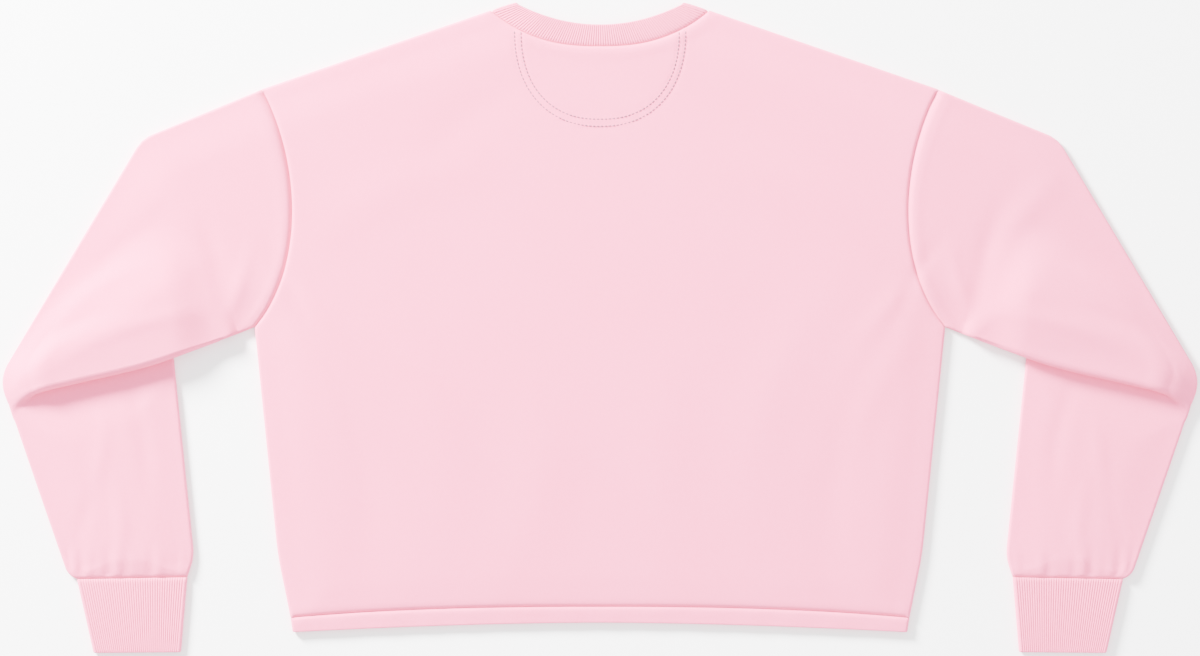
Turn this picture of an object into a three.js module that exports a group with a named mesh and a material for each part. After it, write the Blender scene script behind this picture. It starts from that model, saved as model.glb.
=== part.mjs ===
// A cropped, boxy crewneck sweatshirt, laid flat on its front with each sleeve bent at the elbow.
// Millimetres. X runs across the garment, Y from the hem to the neck, Z up from the surface it lies on.
import * as THREE from "three";

// Cloth
const FLEECE = 2.0; // thickness of one layer of fleece
const FLAT_TUBE = 5.0; // thickness of two layers that lie on each other, at an edge
const SEAM_GAP = 0.3; // between two pieces that are sewn together
const LOFT = 2.4; // how far the upper layer stands off the lower one, away from the edges
const LOFT_REACH = 40; // the distance from an edge over which it gets there
const RIM_ANGLES = [50, 0, -50]; // degrees, points round the folded edge of a flattened tube
const BLUNT = 0.7; // least height of a panel's rolled edge above its seam

// Rib knit of the neckband and cuffs, folded double
const RIB_BAND = 2.2; // thickness of the neckband between its ribs
const RIB_RELIEF = 0.3; // how far a rib stands up
const CUFF_WALL = 2.1;
const CUFF_FLAT = 5.0;
const NECK_RIBS = 44; // across the back of the neck
const CUFF_RIBS = 28; // across one side of a cuff

// Places on the right half, with x from the centre line and y from the level of the armpits
const PLACE = {
  neckTip: { x: 71.4, y: 273.4 },
  neckSeam: { x: 92.0, y: 266.7 },
  shoulder: { x: 284.3, y: 200.5 },
  overarm: { x: 385.1, y: 159.2 },
  elbowTurn: { x: 505.6, y: -43.4 },
  elbowEnd: { x: 496.4, y: -66.5 },
  wristOut: { x: 447.2, y: -207.6 },
  cuffSeamOut: { x: 439.7, y: -210.8 },
  cuffEndOut: { x: 425.6, y: -273.0 },
  cuffEndIn: { x: 352.1, y: -272.4 },
  cuffSeamIn: { x: 346.7, y: -209.2 },
  wristIn: { x: 341.0, y: -192.0 },
  tuckEnd: { x: 363.3, y: 23.5 },
  underarmEnd: { x: 317.1, y: -10.1 },
  armpit: { x: 290.2, y: 0.8 },
  waist: { x: 270.8, y: -190.5 },
  hemSeam: { x: 260.1, y: -243.0 },
  hemCorner: { x: 258.3, y: -255.4 },
};

// The visible crease at the elbow, from the outer edge of the sleeve to its underarm seam
const CREASE = [
  { x: 496.4, y: -66.5 },
  { x: 488.4, y: -60.6 },
  { x: 470.0, y: -54.2 },
  { x: 436.4, y: -46.2 },
  { x: 402.8, y: -38.6 },
  { x: 369.2, y: -29.4 },
  { x: 317.1, y: -10.1 },
];

// Neckline and hem: the height at the centre line and how fast the line climbs or falls beside it
const LINE = {
  backNeckSeam: { centre: 236.5, end: "neckSeam", power: 2.55 },
  backNeckEdge: { centre: 254.9, end: "neckTip", power: 2.06 },
  frontNeckSeam: { centre: 174.0, end: "neckSeam", power: 2.6 },
  frontNeckEdge: { centre: 195.0, end: "neckTip", power: 2.4 },
  hemSeam: { centre: -233.8, end: "hemSeam", power: 2.5 },
  hemEdge: { centre: -247.5, end: "hemCorner", power: 1.7 },
};

// Half-moon patch inside the back of the neck
const PATCH = { half: 73.0, level: 249.5, drop: 81.4, power: 2.25, thick: 1.0, below: 0.7, fromSeam: 1.0 };

// The tuck at the elbow, where the sleeve turns under itself twice
const LAYER_PITCH = 5.8; // between the middles of two layers of sleeve
const TURN = LAYER_PITCH / 2; // radius of each turn
const TUCK_FULL = 0.24; // share of the crease over which the tuck grows from the outer edge
const TUCK_LEAST = 2.0; // length of cloth between the two turns where the tuck starts
const TURN_LEAST = 5.0; // length of cloth in a turn where the tuck starts
const FIRST_ANGLE = 0.05; // radians that the cloth turns at the very edge
const TURN_STEPS = 5;
const BULGE_FULL = 0.72;
const BULGE_LOST = 0.85;
const RAMP = { start: 3, most: 60, perReach: 0.85, least: 10 }; // how the upper sleeve comes down
const DROOP = { start: 2, end: 36 }; // how the tuck comes down beside the forearm

// How finely the pieces are drawn
const ACROSS = [0, 0.04, 0.08, 0.12, 0.17, 0.24, 0.42, 0.64, 0.8, 0.9, 1]; // stops across a sleeve
const UPPER_STOPS = [0, 0.13, 0.25, 0.285, 0.32, 0.46, 0.62, 0.78, 0.87, 0.91, 0.94, 0.97, 1];
const FOREARM_STOPS = [0.14, 0.32, 0.52, 0.72, 0.88, 0.94, 0.975, 1];
const EDGE_STEPS = [0, 0.5, 1.4, 2.6, 14, 32]; // distances from the edge of a panel
const NECK_STOPS = [1, 0.96, 0.91, 0.85, 0.78, 0.7, 0.6, 0.48, 0.34, 0.18, 0];

const PINK = 0xfbd5e0;
const RIB_PINK = 0xfad2de;

const flat = (place) => new THREE.Vector2(place.x, place.y);
const lerp = THREE.MathUtils.lerp;
const smooth = (low, high, value) => THREE.MathUtils.smoothstep(value, low, high);

// A line through the places, rounded at each that has a reach in the table
function route(names, reach = {}) {
  const stops = names.map((name) => flat(PLACE[name]));
  const path = new THREE.Path([stops[0]]);
  for (let i = 1; i < stops.length; i += 1) {
    const round = reach[names[i]];
    if (!round) {
      path.lineTo(stops[i].x, stops[i].y);
      continue;
    }
    const back = stops[i - 1].clone().sub(stops[i]).setLength(round);
    const on = stops[i + 1].clone().sub(stops[i]).setLength(round);
    path.lineTo(stops[i].x + back.x, stops[i].y + back.y);
    path.quadraticCurveTo(stops[i].x, stops[i].y, stops[i].x + on.x, stops[i].y + on.y);
  }
  return path;
}

// Height of a neckline or hem at a share from -1 to 1 of its width
function lineAt(name, share) {
  const { centre, end, power } = LINE[name];
  const last = PLACE[end];
  const climb = (last.y - centre) * Math.abs(share) ** power;
  return new THREE.Vector2(last.x * share, centre + climb);
}

// The same point moved towards the opening of the neck or, where the gap is less than zero, away from it
function besideLine(name, share, gap) {
  const [before, after] = [lineAt(name, share - 0.001), lineAt(name, share + 0.001)];
  const along = after.sub(before).normalize();
  return lineAt(name, share).add(new THREE.Vector2(-along.y * gap, along.x * gap));
}

const shoulderLine = route(["neckSeam", "shoulder"]);
const sideSeam = route(["armpit", "waist", "hemSeam"], { waist: 14 });
const overarm = route(["shoulder", "overarm", "elbowTurn", "elbowEnd"], {
  overarm: 9,
  elbowTurn: 16,
});
const forearmOut = route(["elbowEnd", "wristOut", "cuffSeamOut"], { wristOut: 7 });
const forearmIn = route(["tuckEnd", "wristIn", "cuffSeamIn"], { wristIn: 9 });
const crease = new THREE.SplineCurve(CREASE.map(flat));
const armhole = new THREE.CubicBezierCurve(
  flat(PLACE.shoulder),
  new THREE.Vector2(251.5, 142.2),
  new THREE.Vector2(246.6, 50.7),
  flat(PLACE.armpit),
);

// A point of the armhole moved towards the sleeve or, where the gap is less than zero, the body
function besideArmhole(share, gap) {
  const along = armhole.getTangentAt(share);
  return armhole.getPointAt(share).add(new THREE.Vector2(-along.y * gap, along.x * gap));
}

const creaseAlong = flat(PLACE.underarmEnd).sub(flat(PLACE.elbowEnd)).normalize();
const creaseDown = new THREE.Vector2(-creaseAlong.y, creaseAlong.x);

// Shortest distance from a point to a polyline
function distanceTo(line, point) {
  let best = Infinity;
  for (let i = 1; i < line.length; i += 1) {
    const [a, b] = [line[i - 1], line[i]];
    const along = b.clone().sub(a);
    const share = point.clone().sub(a).dot(along) / (along.lengthSq() || 1);
    const near = a.clone().addScaledVector(along, THREE.MathUtils.clamp(share, 0, 1));
    best = Math.min(best, near.distanceTo(point));
  }
  return best;
}

const hemLine = [1, 0.75, 0.5, 0.25, 0].map((share) => lineAt("hemEdge", share));
const shoulderEdge = shoulderLine.getPoints(1);
const sideEdge = [...sideSeam.getPoints(6), flat(PLACE.hemCorner)];
const topOutline = [
  ...shoulderEdge,
  ...overarm.getPoints(6),
  ...crease.getPoints(16),
  ...sideEdge,
  ...hemLine,
];
const forearmOutline = [forearmOut.getPoints(6), forearmIn.getPoints(6)];
const creaseLine = crease.getPoints(16);

const rightSide = (point) => new THREE.Vector2(Math.abs(point.x), point.y);

// How far the upper layer stands off the lower one
function loftAt(point) {
  return LOFT * smooth(0, LOFT_REACH, distanceTo(topOutline, rightSide(point)));
}

function forearmLoft(point) {
  const edge = Math.min(...forearmOutline.map((line) => distanceTo(line, point)));
  const covered = point.clone().sub(creaseLine[8]).dot(creaseDown);
  const seam = 2.5 * (point.y - PLACE.cuffSeamIn.y);
  return LOFT * smooth(0, LOFT_REACH, Math.min(edge, covered - 6, seam));
}

// Closed solid from rings of points, where each ring and the row of rings both close on themselves.
// The faces split the same way in all four layers of a folded tube, so that they can't cross.
function loopSolid(rings) {
  const count = rings[0].length;
  const position = rings.flat().flatMap((point) => [point.x, point.y, point.z]);
  const index = [];
  rings.forEach((_, i) => {
    const here = i * count;
    const next = ((i + 1) % rings.length) * count;
    for (let k = 0; k < count; k += 1) {
      const beside = (k + 1) % count;
      const [a, b, c, d] = [here + k, next + k, next + beside, here + beside];
      if (k < count / 2 === i < rings.length / 2) index.push(a, b, c, a, c, d);
      else index.push(b, c, d, b, d, a);
    }
  });
  return facingOut(position, index);
}

// Closed solid between an upper and a lower sheet over the same grid of points
function slabSolid(grid, upper, lower) {
  const wide = grid[0].length;
  const points = grid.flat();
  const top = points.flatMap((point) => [point.x, point.y, upper(point)]);
  const bottom = points.flatMap((point) => [point.x, point.y, lower(point)]);
  const index = [];
  for (let j = 1; j < grid.length; j += 1) {
    for (let i = 1; i < wide; i += 1) {
      const [a, b] = [(j - 1) * wide + i - 1, (j - 1) * wide + i];
      const [c, d] = [j * wide + i, j * wide + i - 1];
      index.push(a, b, c, a, c, d);
      index.push(...[a, c, b, a, d, c].map((k) => k + points.length));
    }
  }
  const rim = [];
  for (let i = 0; i < wide - 1; i += 1) rim.push(i);
  for (let j = 0; j < grid.length - 1; j += 1) rim.push(j * wide + wide - 1);
  for (let i = wide - 1; i > 0; i -= 1) rim.push((grid.length - 1) * wide + i);
  for (let j = grid.length - 1; j > 0; j -= 1) rim.push(j * wide);
  rim.forEach((here, k) => {
    const next = rim[(k + 1) % rim.length];
    const [below, nextBelow] = [here + points.length, next + points.length];
    index.push(here, below, nextBelow, here, nextBelow, next);
  });
  return facingOut([...top, ...bottom], index);
}

// The geometry with its faces turned outwards, whichever way round it was drawn
function facingOut(position, index) {
  const corner = (k) => new THREE.Vector3().fromArray(position, 3 * k);
  let volume = 0;
  for (let k = 0; k < index.length; k += 3) {
    const [a, b, c] = index.slice(k, k + 3).map(corner);
    volume += a.dot(b.cross(c));
  }
  if (volume < 0) index.reverse();
  const geometry = new THREE.BufferGeometry();
  geometry.setAttribute("position", new THREE.Float32BufferAttribute(position, 3));
  geometry.setIndex(index);
  geometry.computeVertexNormals();
  return geometry;
}

// One ring of a flattened tube: across its upper face, round one edge, back below and round the other
function flatRing(mids, normals, above, below, { bottomStep = 1, innerOut = null } = {}) {
  const last = mids.length - 1;
  const ring = mids.map((mid, k) => mid.clone().addScaledVector(normals[k], above(k)));
  const rim = (edge, inside, angles) => {
    const along = mids[edge].clone().sub(mids[inside]).normalize();
    const out = edge === last && innerOut ? innerOut : along;
    for (const angle of angles) {
      const turn = THREE.MathUtils.degToRad(angle);
      const point = mids[edge].clone().addScaledVector(out, below * Math.cos(turn));
      ring.push(point.addScaledVector(normals[edge], below * Math.sin(turn)));
    }
  };
  rim(last, last - 1, RIM_ANGLES);
  for (let k = last; k >= 0; k -= bottomStep) {
    ring.push(mids[k].clone().addScaledVector(normals[k], -below));
  }
  rim(0, 1, [...RIM_ANGLES].reverse());
  return ring;
}

// Panels

// Heights over the seam of a panel's outer and inner faces, at a distance from its rolled edge
function outerRoll(distance) {
  const radius = FLAT_TUBE / 2;
  const inside = Math.min(distance, radius) - radius;
  return Math.max(BLUNT, Math.sqrt(radius ** 2 - inside ** 2));
}

function innerRoll(distance) {
  const [outer, inner] = [FLAT_TUBE / 2, FLAT_TUBE / 2 - FLEECE];
  const inside = Math.min(distance, outer) - outer;
  return Math.max(SEAM_GAP / 2, Math.sqrt(Math.max(0, inner ** 2 - inside ** 2)));
}

const rolledDistance = (point) =>
  Math.min(...[shoulderEdge, sideEdge].map((line) => distanceTo(line, rightSide(point))));
const middle = FLAT_TUBE / 2;
const backTop = (point) => middle + outerRoll(rolledDistance(point)) + loftAt(point);
const backBottom = (point) => middle + innerRoll(rolledDistance(point)) + loftAt(point);
const frontTop = (point) => middle - innerRoll(rolledDistance(point));
const frontBottom = (point) => middle - outerRoll(rolledDistance(point));

// Shares across a flattened sleeve, between the middles of its two rolled edges
function acrossSleeve(width, innerInset = FLAT_TUBE / 2) {
  const inset = FLAT_TUBE / 2 / width;
  return ACROSS.map((stop) => lerp(inset, 1 - innerInset / width, stop));
}

const armholeWidth = flat(PLACE.shoulder).distanceTo(flat(PLACE.armpit));

// Shares along a panel's side and top, with the armpit and the ends of the neckline on them
const NECK_SHARE = (1 - PLACE.neckSeam.x / PLACE.shoulder.x) / 2;
const ARMPIT_SHARE = 0.53;
const ARMPIT_EASE = 0.3; // more room for the sleeve's rolled edge where it meets the side seam
const edgeShares = (length) => EDGE_STEPS.map((step) => step / length);
const stepsBetween = (from, to, count) =>
  Array.from({ length: count }, (_, k) => lerp(from, to, (k + 1) / count));

function acrossShares() {
  const near = edgeShares(2 * PLACE.shoulder.x);
  const left = [
    ...near,
    ...stepsBetween(near.at(-1), NECK_SHARE, 3).slice(0, -1),
    ...NECK_STOPS.map((stop) => lerp(0.5, NECK_SHARE, stop)),
  ];
  const right = left.slice(0, -1).reverse();
  return [...left, ...right.map((share) => 1 - share)];
}

// The armhole has a row at each point that the sleeve has there
function upShares() {
  const near = edgeShares(PLACE.shoulder.y - PLACE.hemSeam.y);
  const foot = [near[0], near[4], near[5]];
  const onArmhole = [...acrossSleeve(armholeWidth), near[2], near[1], 0];
  return [
    ...foot,
    ...stepsBetween(foot.at(-1), ARMPIT_SHARE, 3),
    ...onArmhole
      .sort((a, b) => b - a)
      .map((share) => lerp(1, ARMPIT_SHARE, share)),
  ];
}

// The four sides of a body panel, each as a point for a share from 0 to 1
function panelSides(neckSeam) {
  const half = SEAM_GAP / 2;
  const side = (share) => {
    if (share > ARMPIT_SHARE - 1e-6) {
      const down = Math.min(1, (1 - share) / (1 - ARMPIT_SHARE));
      return besideArmhole(down, -half - ARMPIT_EASE * smooth(0.96, 1, down));
    }
    return sideSeam.getPointAt(1 - share / ARMPIT_SHARE);
  };
  const top = (share) => {
    const centred = 2 * share - 1;
    const inner = 1 - 2 * NECK_SHARE;
    if (Math.abs(centred) < inner + 1e-6) {
      return besideLine(neckSeam, centred / inner, -half);
    }
    const out = (Math.abs(centred) - inner) / (1 - inner);
    const point = shoulderLine.getPointAt(out);
    return point.setX(Math.sign(centred) * (point.x - half * out));
  };
  const bottom = (share) => {
    const point = lineAt("hemSeam", 2 * share - 1);
    return point.setY(point.y + half);
  };
  return { side, top, bottom };
}

// Grid of points that fills the four sides
function panelGrid(neckSeam) {
  const { side, top, bottom } = panelSides(neckSeam);
  const mirrored = (point) => point.clone().setX(-point.x);
  return upShares().map((up) => {
    const right = side(up);
    const left = mirrored(right);
    return acrossShares().map((share) => {
      const point = bottom(share).multiplyScalar(1 - up);
      point.addScaledVector(top(share), up);
      point.addScaledVector(left, 1 - share);
      point.addScaledVector(right, share);
      for (const [corner, weight] of [
        [bottom(0), (1 - share) * (1 - up)],
        [bottom(1), share * (1 - up)],
        [top(0), (1 - share) * up],
        [top(1), share * up],
      ]) {
        point.addScaledVector(corner, -weight);
      }
      return point;
    });
  });
}

const backPanel = () => slabSolid(panelGrid("backNeckSeam"), backTop, backBottom);
const frontPanel = () => slabSolid(panelGrid("frontNeckSeam"), frontTop, frontBottom);

// The patch lies under the back panel, and is made from its inner face
function halfMoon() {
  const [wide, high] = [14, 8];
  const grid = Array.from({ length: high + 1 }, (_, j) =>
    Array.from({ length: wide + 1 }, (_, i) => {
      const across = Math.sin((Math.PI / 2) * ((2 * i) / wide - 1)) * 0.995;
      const x = PATCH.half * across;
      const seam = lineAt("backNeckSeam", x / PLACE.neckSeam.x).y - PATCH.fromSeam;
      const curve = PATCH.drop * (1 - Math.abs(across) ** PATCH.power) ** (1 / PATCH.power);
      return new THREE.Vector2(x, lerp(PATCH.level - curve, seam, j / high));
    }),
  );
  const upper = (point) => backBottom(point) - PATCH.below;
  return slabSolid(grid, upper, (point) => upper(point) - PATCH.thick);
}

// Sleeve

// How far the cloth turns at a share of the crease, and how high the tuck stands there
function turnAt(share) {
  const grown = Math.min(1, share / TUCK_FULL);
  const angle = lerp(FIRST_ANGLE, Math.PI, lerp(grown, smooth(0, 1, grown), 0.4));
  const radius = Math.max(TURN, TURN_LEAST / angle);
  const height = 2 * radius * (1 - Math.cos(angle)) + TUCK_LEAST * Math.sin(angle);
  return { angle, radius, height };
}

// How far the roll of the first fold swells past its line: less where it ends at the underarm
const bulgeAt = (share) => 1 - BULGE_LOST * smooth(BULGE_FULL, 1, share);

// The first fold, set back so that its roll reaches the visible crease
function firstFold(share) {
  const { angle } = turnAt(share);
  const setBack = TURN * Math.sin(angle / 2) * bulgeAt(share) + FLAT_TUBE / 2;
  return crease.getPointAt(share).addScaledVector(creaseDown, -setBack);
}

const tuckReach = flat(PLACE.tuckEnd).sub(firstFold(1));

function secondFold(share) {
  const { angle, radius } = turnAt(share);
  const grown = Math.max(0, share - TUCK_FULL) / (1 - TUCK_FULL);
  const on = 2 * radius * Math.sin(angle) + TUCK_LEAST * Math.cos(angle);
  return firstFold(share)
    .addScaledVector(creaseDown, on)
    .addScaledVector(tuckReach.clone().addScaledVector(creaseDown, TUCK_LEAST), grown);
}

const secondAlong = secondFold(1).sub(secondFold(TUCK_FULL)).normalize();
const secondDown = new THREE.Vector2(-secondAlong.y, secondAlong.x);
const tuckTriangle = [firstFold(0), firstFold(1), flat(PLACE.tuckEnd)];

function insideTuck(point) {
  const [a, b, c] = tuckTriangle;
  const side = (from, to) => to.clone().sub(from).cross(point.clone().sub(from)) < 0;
  return side(a, b) === side(b, c) && side(b, c) === side(c, a);
}

// How far the tuck hangs down beside the forearm, where nothing lies under it
function droopAt(point) {
  const along = flat(PLACE.wristIn).sub(flat(PLACE.tuckEnd)).normalize();
  const beside = -along.clone().cross(point.clone().sub(flat(PLACE.tuckEnd)));
  return LAYER_PITCH * smooth(DROOP.start, DROOP.end, beside);
}

// How far the upper sleeve is lifted by the tuck below it
function liftAt(point, share) {
  const away = insideTuck(point) ? 0 : distanceTo([...tuckTriangle, tuckTriangle[0]], point);
  const reach = RAMP.perReach * point.distanceTo(flat(PLACE.armpit));
  const long = THREE.MathUtils.clamp(reach, RAMP.least, RAMP.most);
  const ramp = 1 - smooth(RAMP.start, RAMP.start + long, away);
  return (turnAt(share).height - droopAt(point)) * ramp;
}

// A row across the sleeve: the straight line between two edge points, bent like the given curve
function bentRow(out, inn, bends, innerInset) {
  return acrossSleeve(out.distanceTo(inn), innerInset).map((share) => {
    const point = out.clone().lerp(inn, share);
    for (const [curve, weight] of bends) {
      const straight = curve(0).clone().lerp(curve(1), share);
      point.addScaledVector(curve(share).clone().sub(straight), weight);
    }
    return { point, share };
  });
}

const at = ({ x, y }, z) => new THREE.Vector3(x, y, z);

// The direction that cloth faces after it has turned over by an angle
const facing = (angle, down) => at(down.clone().multiplyScalar(Math.sin(angle)), Math.cos(angle));

// A place in the middle of the flattened tube, and the way that its cloth faces there
const cloth = (point, z, normal = new THREE.Vector3(0, 0, 1)) => ({ mid: at(point, z), normal });

// The underarm edge runs from the armpit to the crease, and rolls over square to its own line
const underarm = [flat(PLACE.armpit), flat(PLACE.underarmEnd)];
const underarmAlong = underarm[1].clone().sub(underarm[0]).normalize();
const underarmOut = new THREE.Vector2(underarmAlong.y, -underarmAlong.x);

function upperRows() {
  const armholeAt = (share) => armhole.getPointAt(share);
  return UPPER_STOPS.map((stop) => {
    const out = stop === 1 ? firstFold(0) : overarm.getPointAt(stop);
    const inn = stop === 1 ? firstFold(1) : underarm[0].clone().lerp(underarm[1], stop * 0.8);
    const turned = stop > 0 && stop < 1;
    if (turned) inn.addScaledVector(underarmOut, -FLAT_TUBE / 2);
    const bends = [
      [armholeAt, (1 - stop) ** 1.5],
      [firstFold, stop ** 1.5],
    ];
    const row = bentRow(out, inn, bends, turned ? 0 : undefined);
    return row.map(({ point, share }) => {
      if (stop === 0) point.x += SEAM_GAP / 2;
      return cloth(point, FLAT_TUBE / 2 + liftAt(point, share));
    });
  });
}

function tuckRows() {
  const shares = bentRow(firstFold(0), firstFold(1), []).map(({ share }) => share);
  const steps = Array.from({ length: TURN_STEPS }, (_, k) => (k + 1) / TURN_STEPS);
  const row = (place) => shares.map((share) => place(share, turnAt(share)));
  const firstTurn = steps.map((step) =>
    row((share, { angle, radius, height }) => {
      const turned = angle * step;
      const past = radius * Math.sin(turned) * bulgeAt(share);
      const point = firstFold(share).addScaledVector(creaseDown, past);
      const rest = height - radius * (1 - Math.cos(turned)) - droopAt(point);
      return cloth(point, FLAT_TUBE / 2 + rest, facing(turned, creaseDown));
    }),
  );
  const under = (share, { angle, radius }) => {
    const point = firstFold(share).addScaledVector(creaseDown, radius * Math.sin(angle));
    return point;
  };
  const secondStart = (share, { angle, radius }) =>
    secondFold(share).addScaledVector(creaseDown, -radius * Math.sin(angle));
  const between = [0.5, 1].map((part) =>
    row((share, turn) => {
      const point = under(share, turn).lerp(secondStart(share, turn), part);
      const run = TUCK_LEAST * Math.sin(turn.angle) * (1 - part);
      const rest = turn.radius * (1 - Math.cos(turn.angle));
      const normal = facing(turn.angle, creaseDown);
      return cloth(point, FLAT_TUBE / 2 + rest + run - droopAt(point), normal);
    }),
  );
  const secondTurn = steps.map((step) =>
    row((share, turn) => {
      const { angle, radius } = turn;
      const left = angle * (1 - step);
      const grown = smooth(0, TUCK_FULL, share);
      const down = creaseDown.clone().lerp(secondDown, grown).normalize();
      const on = radius * (Math.sin(angle) - Math.sin(left));
      const point = secondStart(share, turn).addScaledVector(down, on);
      const rest = radius * (1 - Math.cos(left));
      return cloth(point, FLAT_TUBE / 2 + rest, facing(left, down));
    }),
  );
  return [...firstTurn, ...between, ...secondTurn];
}

function forearmRows() {
  const start = secondFold(0);
  const outLine = [start, ...forearmOut.getSpacedPoints(40).filter((p) => p.y < start.y - 4)];
  const outEdge = new THREE.Path(outLine);
  return FOREARM_STOPS.map((stop) => {
    const shift = stop === 1 ? SEAM_GAP / 2 : 0;
    const row = bentRow(outEdge.getPointAt(stop), forearmIn.getPointAt(stop), [
      [secondFold, (1 - stop) ** 2],
    ]);
    return row.map(({ point }) => cloth(point.setY(point.y + shift), FLAT_TUBE / 2));
  });
}

function sleeve() {
  const upper = upperRows();
  const rows = [...upper, ...tuckRows(), ...forearmRows()];
  const forearmFrom = rows.length - FOREARM_STOPS.length;
  const loft = (j, k) => {
    const point = new THREE.Vector2(rows[j][k].mid.x, rows[j][k].mid.y);
    if (j < upper.length) return loftAt(point);
    return j < forearmFrom ? 0 : forearmLoft(point);
  };
  const turned = (j) => j > 0 && j < upper.length - 1;
  const innerOut = at(underarmOut, 0);
  const wall = (half) =>
    rows.map((row, j) => {
      const above = (k) => half + loft(j, k);
      const mids = row.map(({ mid }) => mid);
      const normals = row.map(({ normal }) => normal);
      return flatRing(mids, normals, above, half, turned(j) ? { innerOut } : {});
    });
  return loopSolid([...wall(FLAT_TUBE / 2), ...wall(FLAT_TUBE / 2 - FLEECE).reverse()]);
}

// Ribbed cuff: a tube folded double, so that its open end is round
function cuff() {
  const last = 2 * CUFF_RIBS;
  const up = Array(last + 1).fill(new THREE.Vector3(0, 0, 1));
  const row = (down) => {
    const out = flat(PLACE.cuffSeamOut).lerp(flat(PLACE.cuffEndOut), down);
    const inn = flat(PLACE.cuffSeamIn).lerp(flat(PLACE.cuffEndIn), down);
    const inset = CUFF_FLAT / 2 / inn.distanceTo(out);
    return up.map((_, k) => {
      const point = out.clone().lerp(inn, lerp(inset, 1 - inset, k / last));
      return at(point, CUFF_FLAT / 2);
    });
  };
  const length = PLACE.cuffSeamOut.y - PLACE.cuffEndOut.y;
  const seam = SEAM_GAP / 2 / length;
  const round = 0.8 / length;
  const ribbed = (half) => (k) => half + (k % 2 ? RIB_RELIEF : 0);
  const ring = (down, half, shape) => flatRing(row(down), up, shape(half), half, { bottomStep: 7 });
  const plain = (half) => () => half;
  const outer = CUFF_FLAT / 2;
  const inner = outer - CUFF_WALL;
  return loopSolid([
    ring(seam, outer, ribbed),
    ring(1 - round, outer, ribbed),
    ring(1, (outer + inner) / 2, plain),
    ring(1 - round, inner, plain),
    ring(seam, inner, plain),
  ]);
}

// Hem band: a narrow tube round the bottom edge, rolled at the sides like the panels above it
function hemBand() {
  const shares = Array.from({ length: 15 }, (_, k) => (2 * k) / 14 - 1);
  const up = shares.map(() => new THREE.Vector3(0, 0, 1));
  const row = (down) => {
    const half = lerp(PLACE.hemSeam.x, PLACE.hemCorner.x, down) - FLAT_TUBE / 2;
    return shares.map((share) => {
      const point = lineAt("hemSeam", share).lerp(lineAt("hemEdge", share), down);
      return at(point.setX(half * share), FLAT_TUBE / 2);
    });
  };
  const deep = LINE.hemSeam.centre - LINE.hemEdge.centre;
  const seam = SEAM_GAP / 2 / deep;
  const round = 0.7 / deep;
  const ring = (down, half) => {
    const mids = row(down);
    const above = (k) => half + loftAt(new THREE.Vector2(mids[k].x, mids[k].y));
    return flatRing(mids, up, above, half);
  };
  const outer = FLAT_TUBE / 2;
  const inner = outer - FLEECE;
  return loopSolid([
    ring(seam, outer),
    ring(0.5, outer),
    ring(1 - round, outer),
    ring(1, (outer + inner) / 2),
    ring(1 - round, inner),
    ring(0.5, inner),
    ring(seam, inner),
  ]);
}

// Neckband: a flat ribbed band that lies over the back of the neck and turns under at each shoulder
function neckband() {
  const half = RIB_BAND / 2;
  const backMiddle = middle + SEAM_GAP / 2 + half;
  const frontMiddle = half;
  const fold = (backMiddle - frontMiddle) / 2;
  const outward = new THREE.Vector2(
    PLACE.neckTip.y - PLACE.neckSeam.y,
    PLACE.neckSeam.x - PLACE.neckTip.x,
  ).normalize();
  // Share of a line at which the band starts to turn over
  const turnShare = (line) => {
    const tip = flat(PLACE.neckTip);
    let share = 1;
    while (lineAt(line, share).sub(tip).dot(outward) > -half - fold) share -= 0.0005;
    return share;
  };
  const section = (seam, edge, normal, height, relief) => {
    const out = edge.clone().sub(seam).normalize();
    const inset = edge.clone().addScaledVector(out, -half);
    const raised = (point, lift) => at(point, height).addScaledVector(normal, lift);
    const round = RIM_ANGLES.map((angle) => {
      const turn = THREE.MathUtils.degToRad(angle);
      const tip = inset.clone().addScaledVector(out, half * Math.cos(turn));
      return raised(tip, half * Math.sin(turn));
    });
    return [
      raised(seam, half + relief),
      raised(inset, half + relief),
      ...round,
      raised(inset, -half),
      raised(seam, -half),
    ];
  };
  const up = new THREE.Vector3(0, 0, 1);
  const sides = (side, share) => [
    besideLine(side + "NeckSeam", share * turnShare(side + "NeckSeam"), SEAM_GAP / 2),
    lineAt(side + "NeckEdge", share * turnShare(side + "NeckEdge")),
  ];
  const flatSection = (side, share, normal, height, relief) => {
    const [seam, edge] = sides(side, share);
    const loft = side === "back" ? loftAt(seam) : 0;
    return section(seam, edge, normal, height + loft, relief);
  };
  const steps = 2 * NECK_RIBS;
  const back = Array.from({ length: steps + 1 }, (_, k) =>
    flatSection("back", (2 * k) / steps - 1, up, backMiddle, k % 2 ? RIB_RELIEF : 0),
  );
  const turnOver = (sign) =>
    [30, 60, 90, 120, 150].map((degrees) => {
      const turn = THREE.MathUtils.degToRad(degrees);
      const front = sides("front", 1);
      const [seam, edge] = sides("back", 1).map((point, k) =>
        point.lerp(front[k], degrees / 180).addScaledVector(outward, fold * Math.sin(turn)),
      );
      for (const point of [seam, edge]) point.x *= sign;
      const normal = new THREE.Vector3(
        sign * outward.x * Math.sin(turn),
        outward.y * Math.sin(turn),
        Math.cos(turn),
      );
      const height = frontMiddle + fold + fold * Math.cos(turn);
      return section(seam, edge, normal, height, 0);
    });
  const down = up.clone().negate();
  const frontStops = [...NECK_STOPS, ...NECK_STOPS.slice(0, -1).reverse().map((stop) => -stop)];
  const front = frontStops.map((stop) => flatSection("front", stop, down, frontMiddle, 0));
  return loopSolid([...back, ...turnOver(1), ...front, ...turnOver(-1).reverse()]);
}

// The same piece for the other side of the body
function mirrored(geometry) {
  const copy = geometry.clone();
  const position = Array.from(copy.attributes.position.array);
  for (let k = 0; k < position.length; k += 3) position[k] = -position[k];
  return facingOut(position, Array.from(copy.index.array));
}

const garment = new THREE.Group();

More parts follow.
